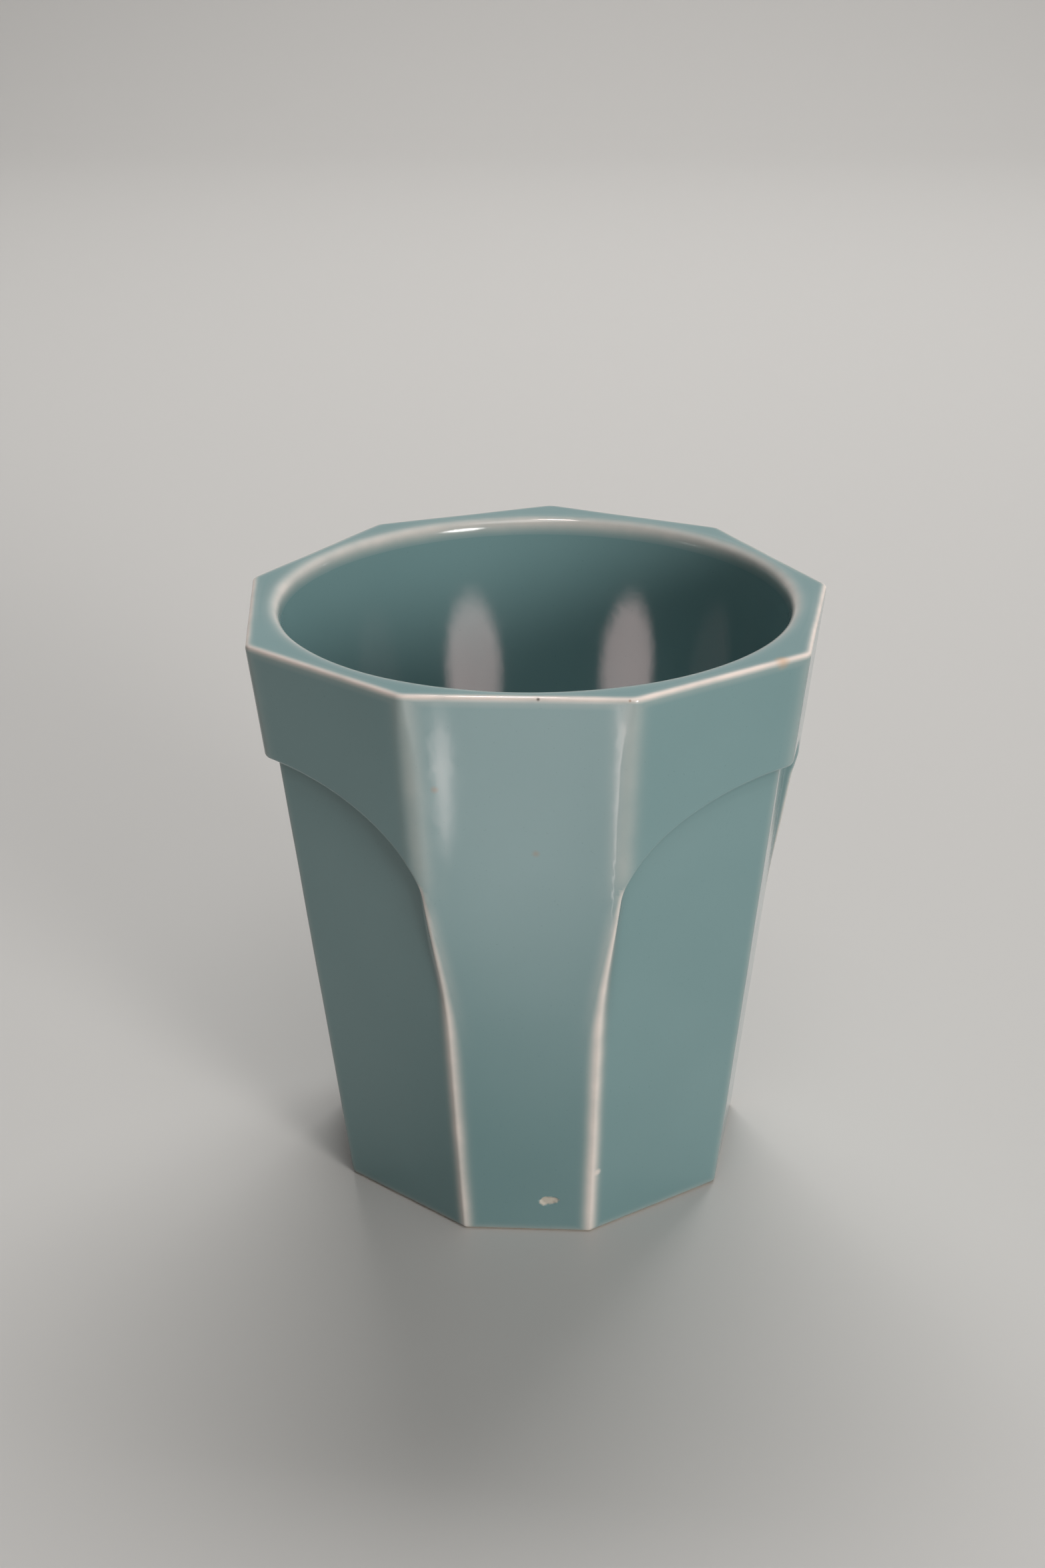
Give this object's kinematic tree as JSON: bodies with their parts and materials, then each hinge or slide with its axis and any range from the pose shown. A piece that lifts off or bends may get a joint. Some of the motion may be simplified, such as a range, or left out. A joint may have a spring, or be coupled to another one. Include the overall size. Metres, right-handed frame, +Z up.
{
  "type": "brush holder pot",
  "caption": "Faceted, tapered ceramic pot that stands brushes and pens upright in a round open well; flat piers and sunken arched panels under a plain collar, glazed inside and out.",
  "frame": {"origin": "centre of the foot, on the table", "axes": "+Z up out of the mouth, -Y towards the front pier, +X to the right when facing the front pier"},
  "size_m": [0.095, 0.0947, 0.1],
  "materials": {
    "bare_clay": "matt, fine-grained, unglazed",
    "well_glaze": "gloss, blue-green celadon glaze",
    "celadon_glaze": "gloss, blue-green celadon glaze that breaks to cream on edges"
  },
  "bodies": {
    "root": {"clay_body": "bare_clay", "liner_glaze": "well_glaze", "outer_glaze": "celadon_glaze"}
  },
  "joints": []
}
